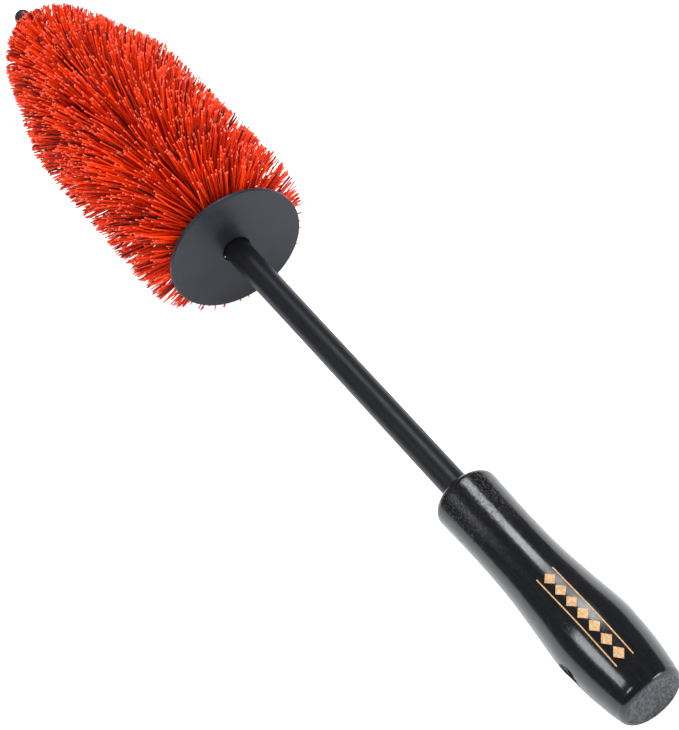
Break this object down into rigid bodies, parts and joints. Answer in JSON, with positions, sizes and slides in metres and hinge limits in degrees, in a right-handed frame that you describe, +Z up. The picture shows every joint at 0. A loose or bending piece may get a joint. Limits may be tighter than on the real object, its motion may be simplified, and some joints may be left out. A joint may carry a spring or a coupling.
{
  "type": "wheel brush",
  "caption": "Long-handled wheel cleaning brush: bullet-shaped red bristle head on a twisted wire, black guard disc, black stem and turned, lacquered wooden handle with a hang hole.",
  "frame": {"origin": "on the floor under the middle of the brush, which lies on the foot of its bristle head and on the swell of its handle", "axes": "+X along the floor towards the handle, +Z up; the brush's own axis runs towards the handle and 4.9 degrees down; +Y along the hang hole"},
  "size_m": [0.449, 0.0734, 0.0813],
  "materials": {
    "lacquered_wood": "gloss",
    "sleeve_plastic": "satin",
    "disc_plastic": "satin",
    "cap_rubber": "satin",
    "bristle_filament": "satin",
    "galvanised_wire": "satin",
    "epoxy": "gloss"
  },
  "bodies": {
    "brush": {"handle": "lacquered_wood", "socket_adhesive": "epoxy", "stem_sleeve": "sleeve_plastic", "core_wire": "galvanised_wire", "tip_cap": "cap_rubber", "bristle_turn_01": "bristle_filament", "bristle_turn_02": "bristle_filament", "bristle_turn_03": "bristle_filament", "bristle_turn_04": "bristle_filament", "bristle_turn_05": "bristle_filament", "bristle_turn_06": "bristle_filament", "bristle_turn_07": "bristle_filament", "bristle_turn_08": "bristle_filament", "bristle_turn_09": "bristle_filament", "bristle_turn_10": "bristle_filament", "bristle_turn_11": "bristle_filament", "bristle_turn_12": "bristle_filament", "bristle_turn_13": "bristle_filament", "bristle_turn_14": "bristle_filament", "bristle_turn_15": "bristle_filament", "bristle_turn_16": "bristle_filament"},
    "guard": {"guard_disc": "disc_plastic"}
  },
  "joints": [
    {"name": "guard_disc_spin", "type": "hinge", "parent": "brush", "child": "guard", "pos_m": [-0.03943, 0, 0.0361], "axis": [0.9963, 0, -0.086], "continuous": true}
  ]
}
